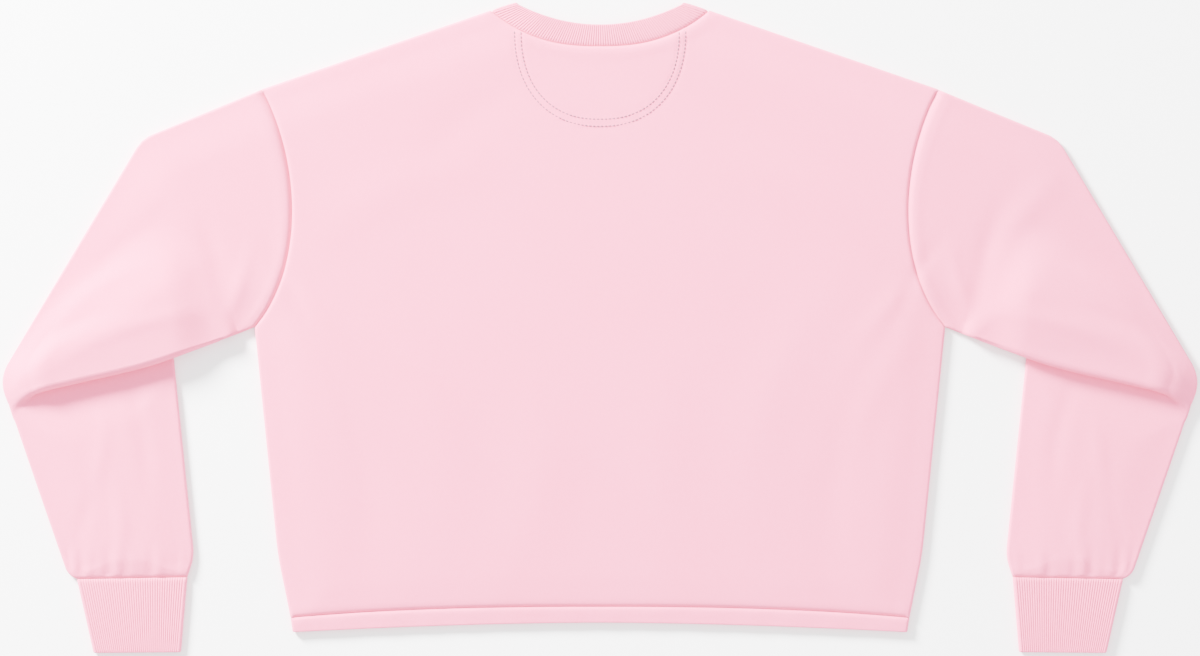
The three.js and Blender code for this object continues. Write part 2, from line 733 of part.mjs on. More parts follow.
function piece(name, geometry, color) {
  const material = new THREE.MeshStandardMaterial({ color, roughness: 0.95, metalness: 0 });
  const mesh = new THREE.Mesh(geometry, material);
  mesh.name = name;
  garment.add(mesh);
}

piece("front_panel", frontPanel(), PINK);
piece("back_panel", backPanel(), PINK);
piece("half_moon_patch", halfMoon(), PINK);
piece("neckband", neckband(), RIB_PINK);
piece("hem_band", hemBand(), PINK);
for (const [side, turn] of [
  ["right", (geometry) => geometry],
  ["left", mirrored],
]) {
  piece(side + "_sleeve", turn(sleeve()), PINK);
  piece(side + "_cuff", turn(cuff()), RIB_PINK);
}

// The origin is under the middle of the garment, on the surface that it lies on
const box = new THREE.Box3().setFromObject(garment);
const centre = box.getCenter(new THREE.Vector3());
garment.position.set(-centre.x, -centre.y, -box.min.z);

export default garment;
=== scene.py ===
"""A cropped crewneck sweatshirt of pink fleece, laid flat with its back up and its sleeves bent."""
import math

import bpy
import numpy as np
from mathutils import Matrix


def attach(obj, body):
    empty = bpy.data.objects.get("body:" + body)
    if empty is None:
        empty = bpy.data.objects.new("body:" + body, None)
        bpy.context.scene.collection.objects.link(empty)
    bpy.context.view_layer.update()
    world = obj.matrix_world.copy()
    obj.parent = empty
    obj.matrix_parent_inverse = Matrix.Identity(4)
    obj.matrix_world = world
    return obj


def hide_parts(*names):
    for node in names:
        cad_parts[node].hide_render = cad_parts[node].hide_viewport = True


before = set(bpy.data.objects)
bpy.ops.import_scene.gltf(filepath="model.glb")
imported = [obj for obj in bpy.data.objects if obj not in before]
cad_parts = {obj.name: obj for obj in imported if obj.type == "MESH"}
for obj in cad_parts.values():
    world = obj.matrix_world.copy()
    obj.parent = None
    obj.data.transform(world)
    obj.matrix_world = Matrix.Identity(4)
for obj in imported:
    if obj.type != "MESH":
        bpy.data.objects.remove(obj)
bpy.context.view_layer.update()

# Sizes in millimetres, as in the part's source
FLEECE = 2.0
FLAT_TUBE = 5.0
HALF_TUBE = FLAT_TUBE / 2
SEAM_GAP = 0.3
LOFT = 2.4  # how much higher the upper cloth stands away from its edges
LOFT_REACH = 40
BLUNT = 0.28  # half the thickness left at the very edge of a rolled panel
NEAR = 0.001  # a small step along a line, as a share of it

RIB_BAND = 2.2
CUFF_WALL = 2.1
RIB_DEPTH = 0.6
CUFF_RIBS = 42
NECK_BACK_RIBS = 84
NECK_FRONT_RIBS = 104
SAMPLES_A_RIB = 8
UNDER_RIBS = 0.7  # how deep the ribs are on the side that lies down, as a share
CUFF_SEAM = 0.8
CUFF_BULGE = 0.25
HEM_RIPPLE = 0.12
NECK_SEAM = 0.7
NECK_BULGE = 0.3
NECK_BACK_MIDDLE = HALF_TUBE + SEAM_GAP / 2 + RIB_BAND / 2
NECK_FOLD = (NECK_BACK_MIDDLE - RIB_BAND / 2) / 2  # half the height between the band's two arcs
NECK_CUT = {"back": 200, "front": 260, "turn_step": 0.4}

SEAM_DEPTH = 1.65  # how deep the cloth rounds down into a seam
SEAM_REACH = 3.2  # how wide that rounding is
RIDGE = {"height": 0.55, "from_seam": 6.5, "spread": 3.4}  # seam allowance that shows through
RIDGE_SHARE = {"armhole": 0.2, "neck": 1, "hem": 0.7, "hem_band": 0.3, "sleeve": 1, "cuff": 0.5}
EDGE_RISE = {"height": 0.25, "from_edge": 7, "spread": 3.2}  # beside the shoulder and side seams

PLACE = {
    "neck_tip": (71.4, 273.4),
    "neck_seam": (92.0, 266.7),
    "shoulder": (284.3, 200.5),
    "overarm": (385.1, 159.2),
    "elbow_turn": (505.6, -43.4),
    "elbow_end": (496.4, -66.5),
    "wrist_out": (447.2, -207.6),
    "cuff_seam_out": (439.7, -210.8),
    "cuff_end_out": (425.6, -273.0),
    "cuff_end_in": (352.1, -272.4),
    "cuff_seam_in": (346.7, -209.2),
    "wrist_in": (341.0, -192.0),
    "tuck_end": (363.3, 23.5),
    "armpit": (290.2, 0.8),
    "waist": (270.8, -190.5),
    "hem_seam": (260.1, -243.0),
    "hem_corner": (258.3, -255.4),
}
CREASE = [
    (496.4, -66.5),
    (488.4, -60.6),
    (470.0, -54.2),
    (436.4, -46.2),
    (402.8, -38.6),
    (369.2, -29.4),
    (317.1, -10.1),
]
ARMHOLE = [PLACE["shoulder"], (251.5, 142.2), (246.6, 50.7), PLACE["armpit"]]
LINE = {
    "back_neck_seam": (236.5, "neck_seam", 2.55),
    "back_neck_edge": (254.9, "neck_tip", 2.06),
    "front_neck_seam": (174.0, "neck_seam", 2.6),
    "front_neck_edge": (195.0, "neck_tip", 2.4),
    "hem_seam": (-233.8, "hem_seam", 2.5),
    "hem_edge": (-247.5, "hem_corner", 1.7),
}
PATCH = {"half": 73.0, "level": 249.5, "drop": 81.4, "power": 2.25, "thick": 1.0, "from_seam": 1.0}
PATCH_REST = {"below": 0.7, "stands": 0.35, "fade": (0.94, 1.02), "hem": 0.35, "hem_wide": 1.2}
PATCH_WIDE = 0.995  # its columns stop just short of its corners
STITCH_ROWS = [
    {"half": 71.8, "drop": 80.2, "power": 2.25},
    {"half": 66.4, "drop": 74.3, "power": 2.3},
]
STITCH = {"pitch": 3.3, "length": 2.4, "radius": 0.46, "sides": 8, "from_seam": 0.8}
STITCH_ENDS = [(0.0, 0.3), (0.1, 0.75), (0.25, 1.0), (0.75, 1.0), (0.9, 0.75), (1.0, 0.3)]
STITCH_RISE = {"lift": 0.2, "arc": 0.5, "flat": 0.8, "cap": 0.2}
PRESSED = {"depth": 0.5, "spread": 1.3, "above_patch": 8}  # the cloth along the stitches

LAYER_PITCH = 5.8  # from one layer of the folded sleeve to the next
TURN = LAYER_PITCH / 2
TURN_LEAST = 5.0
TURN_EVEN = 0.6
FIRST_ANGLE = 0.05
TUCK_FULL = 0.24  # the share of the elbow crease over which the tuck grows
TUCK_LEAST = 2.0
BULGE_FULL = 0.72  # the share up to which the upper fold swells past its line in full
BULGE_LOST = 0.85
FOLD_LIP = 0.35  # how far the underarm end of the upper fold reaches out to the underarm line
RAMP = {"start": 3, "most": 60, "per_reach": 0.85, "least": 10}
DROOP = {"start": 2, "end": 36}
UNDERARM_SHARE = 0.86  # the part of the underarm line that the turned rows share out
ELBOW_SHARE = 0.3  # the outer part of a row, where its points lie closer together
ROW_FADE = 1.5  # how fast a row's own curve straightens away from the armhole or the crease
FOREARM = {"rows": (0.03, 0.88), "start": 4, "covered": 6, "cuff_slope": 2.5, "inside": 20}
UPPER = {"rows": (0, 0.86), "inside": 26, "underarm": -0.4, "underarm_slope": 2}
INNER_HOLLOWS = 0.3  # how much of the hollows the inner face of a sleeve follows
RIM_TURNS = [0.5, 0.15]  # how far the rim still turns outwards at the last row and at the fold
GATHER = {"height": 0.42, "start": 3, "full": 6, "end": 34}
CREASE_BEND = 0.0022  # how fast a soft fold curves away from a straight line
CREASE_FADE = (2, 30)  # over this distance from a rolled edge the soft folds come in

# Soft hollows and ridges in the upper cloth: middle, length, width, direction in degrees, height
CREASES = [
    (262, 38, 66, 12, 62, -1.4),
    (242, 18, 80, 15, 48, 1.1),
    (302, 36, 58, 13, 108, 1.3),
    (324, 62, 78, 16, 78, -1.3),
    (356, 96, 92, 20, 52, 1.2),
    (430, 30, 92, 17, -32, 1.5),
    (448, 0, 80, 13, -26, -1.5),
    (392, 2, 90, 15, -18, 1.2),
    (408, 60, 110, 20, -48, -0.9),
    (420, -112, 66, 14, 100, 1.0),
    (384, -92, 92, 16, 80, -1.2),
    (402, -166, 62, 13, 88, 1.0),
    (430, -150, 66, 13, 104, -0.8),
    (140, -60, 190, 46, 72, 1.1),
    (196, -140, 130, 36, 80, -1.1),
    (52, -130, 160, 50, 98, 0.8),
    (176, 116, 150, 42, -26, 1.0),
    (112, 176, 110, 34, -38, -0.8),
    (228, -60, 120, 22, 66, 0.9),
]


def smooth(low, high, value):
    share = np.clip((np.asarray(value, float) - low) / (high - low), 0, 1)
    return share * share * (3 - 2 * share)


def place(name):
    return np.array(PLACE[name], float)


def unit(vector):
    return vector / np.linalg.norm(vector)


def units(vectors):
    return vectors / np.linalg.norm(vectors, axis=-1, keepdims=True)


def left_of(step):
    """The step turned a quarter to the left."""
    return np.stack([-step[..., 1], step[..., 0]], axis=-1)


# Lines in the plane, as many points evenly spaced


def run_along(points):
    """How far along its line each point lies."""
    steps = np.linalg.norm(np.diff(points, axis=-2), axis=-1)
    return np.cumsum(np.insert(steps, 0, 0, axis=-1), axis=-1)


def even(points, count=400):
    points = np.asarray(points, float)
    apart = np.diff(run_along(points)) > 1e-9
    points = points[np.insert(apart, 0, True)]
    run = run_along(points)
    at = np.linspace(0, run[-1], count)
    return np.stack([np.interp(at, run, points[:, k]) for k in range(2)], axis=1)


def along(line, share):
    at = np.clip(np.asarray(share, float), 0, 1) * (len(line) - 1)
    grid = np.arange(len(line))
    return np.stack([np.interp(at, grid, line[:, k]) for k in range(2)], axis=-1)


def bezier(corners, count=60):
    t = np.linspace(0, 1, count)[:, None]
    points = [np.asarray(corner, float) for corner in corners]
    while len(points) > 1:
        points = [a * (1 - t) + b * t for a, b in zip(points, points[1:])]
    return points[0]


def route(names, reach):
    stops = [place(name) for name in names]
    points = [stops[0]]
    for i in range(1, len(stops)):
        round_by = reach.get(names[i])
        if round_by is None:
            points.append(stops[i])
            continue
        back = stops[i] + unit(stops[i - 1] - stops[i]) * round_by
        on = stops[i] + unit(stops[i + 1] - stops[i]) * round_by
        points.extend(bezier([back, stops[i], on], 24))
    return even(points)


def spline(knots, count=30):
    knots = np.asarray(knots, float)
    padded = np.concatenate([[2 * knots[0] - knots[1]], knots, [2 * knots[-1] - knots[-2]]])
    points = []
    for i in range(1, len(padded) - 2):
        a, b, c, d = padded[i - 1 : i + 3]
        for t in np.linspace(0, 1, count, endpoint=False):
            v0, v1 = (c - a) / 2, (d - b) / 2
            points.append(
                (2 * b - 2 * c + v0 + v1) * t**3 + (3 * c - 3 * b - 2 * v0 - v1) * t**2 + v0 * t + b
            )
    points.append(padded[-2])
    return even(points)


def line_at(name, share):
    centre, end, power = LINE[name]
    last = place(end)
    share = np.asarray(share, float)
    return np.stack([last[0] * share, centre + (last[1] - centre) * np.abs(share) ** power], axis=-1)


def beside_line(name, share, gap):
    share = np.asarray(share, float)
    step = units(line_at(name, share + NEAR) - line_at(name, share - NEAR))
    return line_at(name, share) + gap * left_of(step)


shoulder_line = route(["neck_seam", "shoulder"], {})
side_seam = route(["armpit", "waist", "hem_seam"], {"waist": 14})
overarm = route(["shoulder", "overarm", "elbow_turn", "elbow_end"], {"overarm": 9, "elbow_turn": 16})
forearm_out = route(["elbow_end", "wrist_out", "cuff_seam_out"], {"wrist_out": 7})
forearm_in = route(["tuck_end", "wrist_in", "cuff_seam_in"], {"wrist_in": 9})
crease = spline(CREASE)
armhole = even(bezier(ARMHOLE, 200))
crease_down = left_of(unit(np.array(CREASE[-1]) - np.array(CREASE[0])))


def distance_to(line, points, spacing=12):
    line = np.concatenate([line[:-1:spacing], line[-1:]])
    a, b = line[:-1], line[1:]
    span = b - a
    best = np.full(points.shape[:-1], np.inf)
    for start, step in zip(a, span):
        share = ((points - start) @ step) / max(step @ step, 1e-12)
        near = start + np.clip(share, 0, 1)[..., None] * step
        best = np.minimum(best, np.linalg.norm(points - near, axis=-1))
    return best


def right_side(points):
    return np.stack([np.abs(points[..., 0]), points[..., 1]], axis=-1)


hem_edge_line = line_at("hem_edge", np.linspace(1, 0, 40))
side_edge = np.concatenate([side_seam, [place("hem_corner")]])

# Each edge of the garment as seen from above, and how many of its points are stepped over
TOP_EDGES = [(shoulder_line, 399), (overarm, 12), (crease, 12), (side_edge, 20), (hem_edge_line, 4)]


def loft_at(points):
    right = right_side(points)
    near = np.min([distance_to(line, right, spacing) for line, spacing in TOP_EDGES], axis=0)
    return LOFT * smooth(0, LOFT_REACH, near)


def creases_at(points):
    right = right_side(points)
    total = np.zeros(points.shape[:-1])
    for x, y, length, width, turn, height in CREASES:
        angle = math.radians(turn)
        offset = right - np.array([x, y])
        on = offset @ np.array([math.cos(angle), math.sin(angle)])
        across = offset @ np.array([-math.sin(angle), math.cos(angle)])
        across = across + CREASE_BEND * on * on
        total += height * np.exp(-((on / (0.5 * length)) ** 2) - (across / (0.5 * width)) ** 2)
    return total


def seam_shape(distance, side=1):
    """Rounds down into the seam at no distance, and lifts over the allowance on one side."""
    into = np.clip(1 - distance / SEAM_REACH, 0, 1)
    ridge = np.exp(-(((distance - RIDGE["from_seam"]) / RIDGE["spread"]) ** 2))
    return -SEAM_DEPTH * into**2 + side * RIDGE["height"] * ridge


# Meshes


def metres(points):
    """In metres, and flattened where the cloth rests on the floor."""
    points = np.asarray(points, float).reshape(-1, 3) / 1000
    points[:, 2] = np.maximum(points[:, 2], 0)
    return points


def new_object(name, data):
    obj = bpy.data.objects.new(name, data)
    bpy.context.collection.objects.link(obj)
    return obj


def fetched(items, key, wide, kind):
    values = np.empty(wide * len(items), dtype=kind)
    items.foreach_get(key, values)
    return values


def turn_out(mesh):
    """Turns the faces outwards if they face inwards."""
    mesh.calc_loop_triangles()
    places = fetched(mesh.vertices, "co", 3, float).reshape(-1, 3)
    corners = fetched(mesh.loop_triangles, "vertices", 3, np.int32).reshape(-1, 3)
    a, b, c = places[corners].transpose(1, 0, 2)
    if np.sum(a * np.cross(b, c)) < 0:
        mesh.flip_normals()


def mesh_piece(name, points, faces, uv=None, node=None, rib_shade_mask=None):
    mesh = bpy.data.meshes.new(name)
    mesh.from_pydata(metres(points).tolist(), [], faces)
    if uv is not None:
        layer = mesh.uv_layers.new(name="Cut")
        corners = fetched(mesh.loops, "vertex_index", 1, np.int32)
        layer.data.foreach_set("uv", (np.asarray(uv, float)[corners] / 1000).ravel())
    # Rib heights kept on the mesh as the mask for the painted shade in the rib valleys
    if rib_shade_mask is not None:
        heights = mesh.attributes.new("RibShadeMask", "FLOAT", "POINT")
        heights.data.foreach_set("value", np.asarray(rib_shade_mask, np.float32).ravel())
    mesh.polygons.foreach_set("use_smooth", np.ones(len(mesh.polygons), dtype=bool))
    turn_out(mesh)
    obj = new_object(name, mesh)
    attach(obj, "root")
    if node:
        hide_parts(node)
    return obj


def slab(upper, lower, uv):
    """Closed sheet from two grids of points of the same shape."""
    high, wide = upper.shape[:2]
    index = np.arange(high * wide).reshape(high, wide)
    a, b, c, d = index[:-1, :-1], index[:-1, 1:], index[1:, 1:], index[1:, :-1]
    top = np.stack([a, b, c, d], axis=-1).reshape(-1, 4)
    bottom = top[:, ::-1] + high * wide
    ring = np.concatenate([index[0, :-1], index[:-1, -1], index[-1, :0:-1], index[:0:-1, 0]])
    after = np.roll(ring, -1)
    rim = np.stack([ring, ring + high * wide, after + high * wide, after], axis=-1)
    points = np.concatenate([upper.reshape(-1, 3), lower.reshape(-1, 3)])
    both = np.concatenate([uv.reshape(-1, 2), uv.reshape(-1, 2)])
    return points, np.concatenate([top, bottom, rim]).tolist(), both


def loop(rings, uv):
    """Closed sheet from rings that close on themselves, the last joined to the first."""
    rings = np.asarray(rings)
    rows, count = rings.shape[:2]
    index = np.arange(rows * count).reshape(rows, count)
    on, beside = np.roll(index, -1, axis=0), np.roll(index, -1, axis=1)
    quads = np.stack([index, on, np.roll(on, -1, axis=1), beside], axis=-1).reshape(-1, 4)
    return rings.reshape(-1, 3), quads.tolist(), np.asarray(uv).reshape(-1, 2)


def with_height(points, height):
    height = np.broadcast_to(height, points.shape[:-1])
    return np.concatenate([points, height[..., None]], axis=-1)


# Body panels

NECK_SHARE = (1 - PLACE["neck_seam"][0] / PLACE["shoulder"][0]) / 2  # across, where the neck begins
ARMPIT_SHARE = 0.53  # up the panel, where the armpit is
ARMPIT_EASE = 0.96  # from this share down the armhole the panel draws back from the armpit
EDGE = np.array([0, 0.25, 0.6, 1.0, 1.5, 2.0, 2.6, 3.6, 5.0, 7.0])  # rows lie this far from it
COLUMNS = {"shoulder": 34, "neck": 46}
ROWS = {"side": 50, "armhole": 54}


def roll(distance, radius, least):
    inside = np.minimum(distance, HALF_TUBE) - HALF_TUBE
    return np.maximum(least, np.sqrt(np.maximum(0, radius**2 - inside**2)))


def outer_roll(distance):
    return roll(distance, HALF_TUBE, BLUNT)


def inner_roll(distance):
    return roll(distance, HALF_TUBE - FLEECE, SEAM_GAP / 2)


def shares_between(low, high, count):
    """Evenly spaced shares up to the higher one, without the lower one."""
    return np.linspace(low, high, count + 1)[1:]


def across_shares():
    near = EDGE / (2 * PLACE["shoulder"][0])
    shoulder = shares_between(near[-1], NECK_SHARE - near[3], COLUMNS["shoulder"])
    neck = np.linspace(NECK_SHARE, 0.5, COLUMNS["neck"] + 1)
    left = np.concatenate([near, shoulder, NECK_SHARE - near[2:0:-1], neck])
    return np.concatenate([left, 1 - left[-2::-1]])


def up_shares():
    near = EDGE / (PLACE["shoulder"][1] - PLACE["hem_seam"][1])
    side = shares_between(near[-1], ARMPIT_SHARE, ROWS["side"])
    beside_sleeve = shares_between(ARMPIT_SHARE, 1 - near[-1], ROWS["armhole"])
    return np.concatenate([near, side, beside_sleeve, 1 - near[-2::-1]])


def panel_side(share):
    down = np.minimum(1, (1 - share) / (1 - ARMPIT_SHARE))
    gap = SEAM_GAP / 2 + SEAM_GAP * smooth(ARMPIT_EASE, 1, down)
    below, above = np.minimum(1, down + 2 * NEAR), np.maximum(0, down - 2 * NEAR)
    step = units(along(armhole, below) - along(armhole, above))
    upper = along(armhole, down) - gap[:, None] * left_of(step)
    lower = along(side_seam, 1 - share / ARMPIT_SHARE)
    return np.where((share > ARMPIT_SHARE - 1e-6)[:, None], upper, lower)


def panel_top(share, neck):
    centred = 2 * share - 1
    inner = 1 - 2 * NECK_SHARE
    on_neck = beside_line(neck, np.clip(centred / inner, -1, 1), -SEAM_GAP / 2)
    out = np.clip((np.abs(centred) - inner) / (1 - inner), 0, 1)
    on_shoulder = along(shoulder_line, out)
    on_shoulder[:, 0] = np.sign(centred) * (on_shoulder[:, 0] - out * SEAM_GAP / 2)
    return np.where((np.abs(centred) < inner + 1e-6)[:, None], on_neck, on_shoulder)


def panel_bottom(share):
    points = line_at("hem_seam", 2 * share - 1)
    points[:, 1] += SEAM_GAP / 2
    return points


def panel_grid(neck):
    across, up = across_shares(), up_shares()
    top, bottom, right = panel_top(across, neck), panel_bottom(across), panel_side(up)
    left = right * np.array([-1, 1])
    s, t = across[None, :, None], up[:, None, None]
    grid = bottom[None] * (1 - t) + top[None] * t + left[:, None] * (1 - s) + right[:, None] * s
    grid -= bottom[0] * (1 - s) * (1 - t) + bottom[-1] * s * (1 - t)
    grid -= top[0] * (1 - s) * t + top[-1] * s * t
    return grid


def rolled_distance(points):
    right = right_side(points)
    return np.minimum(distance_to(shoulder_line, right, 399), distance_to(side_edge, right, 10))


def neck_distance(points, neck):
    shares = np.linspace(-1, 1, 121)
    return distance_to(line_at(neck, shares), points, 1)


def panel_seams(points, neck, rolled):
    """The seams of a body panel: armholes, neck, hem, and the shoulder and side seams at its edge."""
    right = right_side(points)
    armholes = seam_shape(distance_to(armhole, right, 8), RIDGE_SHARE["armhole"])
    collar = seam_shape(neck_distance(points, neck), RIDGE_SHARE["neck"])
    hem_line = line_at("hem_seam", np.linspace(-1, 1, 81))
    hem = seam_shape(distance_to(hem_line, points, 1), RIDGE_SHARE["hem"])
    beside = (rolled - EDGE_RISE["from_edge"]) / EDGE_RISE["spread"]
    inside = smooth(0, FLAT_TUBE, rolled)
    return (armholes + collar + hem) * inside + EDGE_RISE["height"] * np.exp(-(beside**2))


def back_heights(points):
    """The middle of the space below the back panel's outer face, and how far in from its edge."""
    rolled = rolled_distance(points)
    base = HALF_TUBE + loft_at(points) + creases_at(points) * smooth(*CREASE_FADE, rolled)
    return base, rolled


def back_panel():
    grid = panel_grid("back_neck_seam")
    base, rolled = back_heights(grid)
    seams = panel_seams(grid, "back_neck_seam", rolled)
    patch = patch_print(grid)
    upper = with_height(grid, base + outer_roll(rolled) + seams + patch)
    lower = with_height(grid, base + inner_roll(rolled))
    return mesh_piece("back", *slab(upper, lower, grid), node="back_panel")


def front_panel():
    grid = panel_grid("front_neck_seam")
    rolled = rolled_distance(grid)
    seams = panel_seams(grid, "front_neck_seam", rolled)
    upper = with_height(grid, HALF_TUBE - inner_roll(rolled))
    lower = with_height(grid, HALF_TUBE - outer_roll(rolled) - np.minimum(seams, 0))
    return mesh_piece("front", *slab(upper, lower, grid), node="front_panel")


# Half-moon patch and its two rows of stitches


def patch_print(points):
    """The back panel is pressed down a little along the stitches, and stands up over the patch."""
    total = np.zeros(points.shape[:-1])
    below = points[..., 1] < PATCH["level"] + PRESSED["above_patch"]
    for row in STITCH_ROWS:
        away = distance_to(stitch_line(row, 160), points, 1) / PRESSED["spread"]
        total -= PRESSED["depth"] * np.exp(-(away**2)) * below
    outer = STITCH_ROWS[0]
    inside = np.abs(points[..., 0] / outer["half"]) ** outer["power"]
    inside += np.clip((PATCH["level"] - points[..., 1]) / outer["drop"], 0, 2) ** outer["power"]
    return total + PATCH_REST["stands"] * (1 - smooth(*PATCH_REST["fade"], inside))


def stitch_line(row, count):
    angle = np.linspace(math.pi, 2 * math.pi, 600)
    x = row["half"] * np.sign(np.cos(angle)) * np.abs(np.cos(angle)) ** (2 / row["power"])
    y = PATCH["level"] - row["drop"] * np.abs(np.sin(angle)) ** (2 / row["power"])
    points = even(np.stack([x, y], axis=1), 2000)
    seam = line_at("back_neck_seam", points[:, 0] / PLACE["neck_seam"][0])[:, 1]
    return even(points[points[:, 1] < seam - STITCH["from_seam"]], count)


def half_moon(rows=50, columns=90):
    across = np.sin(np.linspace(-1, 1, columns) * math.pi / 2) * PATCH_WIDE
    x = PATCH["half"] * across
    seam = line_at("back_neck_seam", x / PLACE["neck_seam"][0])[:, 1] - PATCH["from_seam"]
    depth = PATCH["drop"] * (1 - np.abs(across) ** PATCH["power"]) ** (1 / PATCH["power"])
    foot = PATCH["level"] - depth
    t = np.linspace(0, 1, rows)[:, None]
    grid = np.stack([np.broadcast_to(x, (rows, columns)), foot * (1 - t) + seam * t], axis=-1)
    base, rolled = back_heights(grid)
    upper = base + inner_roll(rolled) - PATCH_REST["below"] + PATCH_REST["stands"]
    hem = PATCH_REST["hem"] * smooth(0, PATCH_REST["hem_wide"], grid[..., 1] - foot)
    lower = upper - PATCH["thick"] - hem
    made = slab(with_height(grid, upper), with_height(grid, lower), grid)
    return mesh_piece("half_moon", *made, node="half_moon_patch")


def capsule(start, end, radius, sides):
    """Points and faces of one stitch, rounded at both ends."""
    axis = unit(end - start)
    side = unit(np.cross(axis, [0, 0, 1.0]))
    up = np.cross(side, axis)
    length = np.linalg.norm(end - start)
    arc, flat, cap = (STITCH_RISE[key] for key in ("arc", "flat", "cap"))
    angles = np.linspace(0, 2 * math.pi, sides, endpoint=False)
    points = []
    for share, wide in STITCH_ENDS:
        centre = start + axis * length * share
        centre = centre + up * radius * arc * math.sin(math.pi * share)
        for angle in angles:
            around = side * math.cos(angle) + up * flat * math.sin(angle)
            points.append(centre + radius * wide * around)
    points.append(start - axis * radius * cap)
    points.append(end + axis * radius * cap)
    pairs = [(k, (k + 1) % sides) for k in range(sides)]
    rings = [ring * sides for ring in range(len(STITCH_ENDS))]
    faces = [(r + a, r + a + sides, r + b + sides, r + b) for r in rings[:-1] for a, b in pairs]
    first, last = len(points) - 2, len(points) - 1
    for a, b in pairs:
        faces.append((first, a, b))
        faces.append((last, rings[-1] + b, rings[-1] + a))
    return points, faces


def stitches():
    points, faces = [], []
    for row in STITCH_ROWS:
        line = stitch_line(row, 4000)
        length = run_along(line)[-1]
        count = int(length // STITCH["pitch"])
        for k in range(count):
            mid = (k + 0.5) / count
            half = 0.5 * STITCH["length"] / length
            ends = along(line, np.array([mid - half, mid + half]))
            base, rolled = back_heights(ends)
            seams = panel_seams(ends, "back_neck_seam", rolled)
            height = base + outer_roll(rolled) + seams + patch_print(ends) + STITCH_RISE["lift"]
            made, sides = capsule(*with_height(ends, height), STITCH["radius"], STITCH["sides"])
            faces.extend(tuple(v + len(points) for v in face) for face in sides)
            points.extend(made)
    return mesh_piece("half_moon_stitches", points, faces)


# Sleeves


def turn_at(share):
    grown = np.minimum(1, share / TUCK_FULL)
    mixed = grown * TURN_EVEN + smooth(0, 1, grown) * (1 - TURN_EVEN)
    angle = FIRST_ANGLE + (math.pi - FIRST_ANGLE) * mixed
    radius = np.maximum(TURN, TURN_LEAST / angle)
    height = 2 * radius * (1 - np.cos(angle)) + TUCK_LEAST * np.sin(angle)
    return angle, radius, height


def bulge_at(share):
    """How far the upper fold swells past its line: less where it ends at the underarm."""
    return 1 - BULGE_LOST * smooth(BULGE_FULL, 1, share)


def first_fold(share):
    angle = turn_at(share)[0]
    set_back = TURN * np.sin(angle / 2) * bulge_at(share) + HALF_TUBE
    return along(crease, share) - set_back[..., None] * crease_down


tuck_reach = place("tuck_end") - first_fold(np.array([1.0]))[0]


def second_fold(share):
    angle, radius, _ = turn_at(share)
    grown = np.maximum(0, share - TUCK_FULL) / (1 - TUCK_FULL)
    on = 2 * radius * np.sin(angle) + TUCK_LEAST * np.cos(angle)
    reach = tuck_reach + crease_down * TUCK_LEAST
    return first_fold(share) + on[..., None] * crease_down + grown[..., None] * reach


tuck_ends = second_fold(np.array([TUCK_FULL, 1.0]))
second_down = left_of(unit(tuck_ends[1] - tuck_ends[0]))
tuck_triangle = np.array([*first_fold(np.array([0.0, 1.0])), place("tuck_end")])


def inside_tuck(points):
    total = []
    for a, b in zip(tuck_triangle, np.roll(tuck_triangle, -1, axis=0)):
        total.append((points - a) @ left_of(b - a))
    total = np.array(total)
    return (total > 0).all(axis=0) | (total < 0).all(axis=0)


def droop_at(points):
    edge = unit(place("wrist_in") - place("tuck_end"))
    offset = points - place("tuck_end")
    beside = -(edge[0] * offset[..., 1] - edge[1] * offset[..., 0])
    return LAYER_PITCH * smooth(DROOP["start"], DROOP["end"], beside)


def lift_at(points, share):
    closed = np.concatenate([tuck_triangle, tuck_triangle[:1]])
    away = np.where(inside_tuck(points), 0, distance_to(closed, points, 1))
    reach = RAMP["per_reach"] * np.linalg.norm(points - place("armpit"), axis=-1)
    long = np.clip(reach, RAMP["least"], RAMP["most"])
    ramp = 1 - smooth(0, 1, (away - RAMP["start"]) / long)
    return (turn_at(share)[2] - droop_at(points)) * ramp


outer_shares = np.linspace(0, 1, 30) ** 1.25 * ELBOW_SHARE
ACROSS = np.concatenate([outer_shares, np.linspace(ELBOW_SHARE, 1, 45)[1:]])


def row_stops(first, close):
    """Shares down the sleeve for its rows, which lie closer together after one of them."""
    return np.concatenate([np.linspace(first, close, 44), np.linspace(close, 1, 16)[1:]])


def row_shares(width, inner_inset=HALF_TUBE):
    inset = HALF_TUBE / width
    return inset + (1 - inner_inset / width - inset) * ACROSS


def bent_row(out, inn, bends, inner_inset=HALF_TUBE):
    shares = row_shares(np.linalg.norm(out - inn), inner_inset)
    points = out + (inn - out) * shares[:, None]
    for curve, weight in bends:
        ends = curve(np.array([0.0, 1.0]))
        straight = ends[0] + (ends[1] - ends[0]) * shares[:, None]
        points = points + weight * (curve(shares) - straight)
    return points, shares


UNDERARM = (place("armpit"), np.array(CREASE[-1]))
underarm_out = -left_of(unit(UNDERARM[1] - UNDERARM[0]))


def facing(angle, down):
    """The direction that cloth faces after it has turned over by an angle."""
    down = np.broadcast_to(down, (len(angle), 2))
    return np.concatenate([np.sin(angle)[:, None] * down, np.cos(angle)[:, None]], axis=1)


def with_normals(rows):
    """The rows, and for each of their points the direction that flat cloth faces."""
    return rows, np.broadcast_to([0.0, 0.0, 1.0], np.shape(rows))


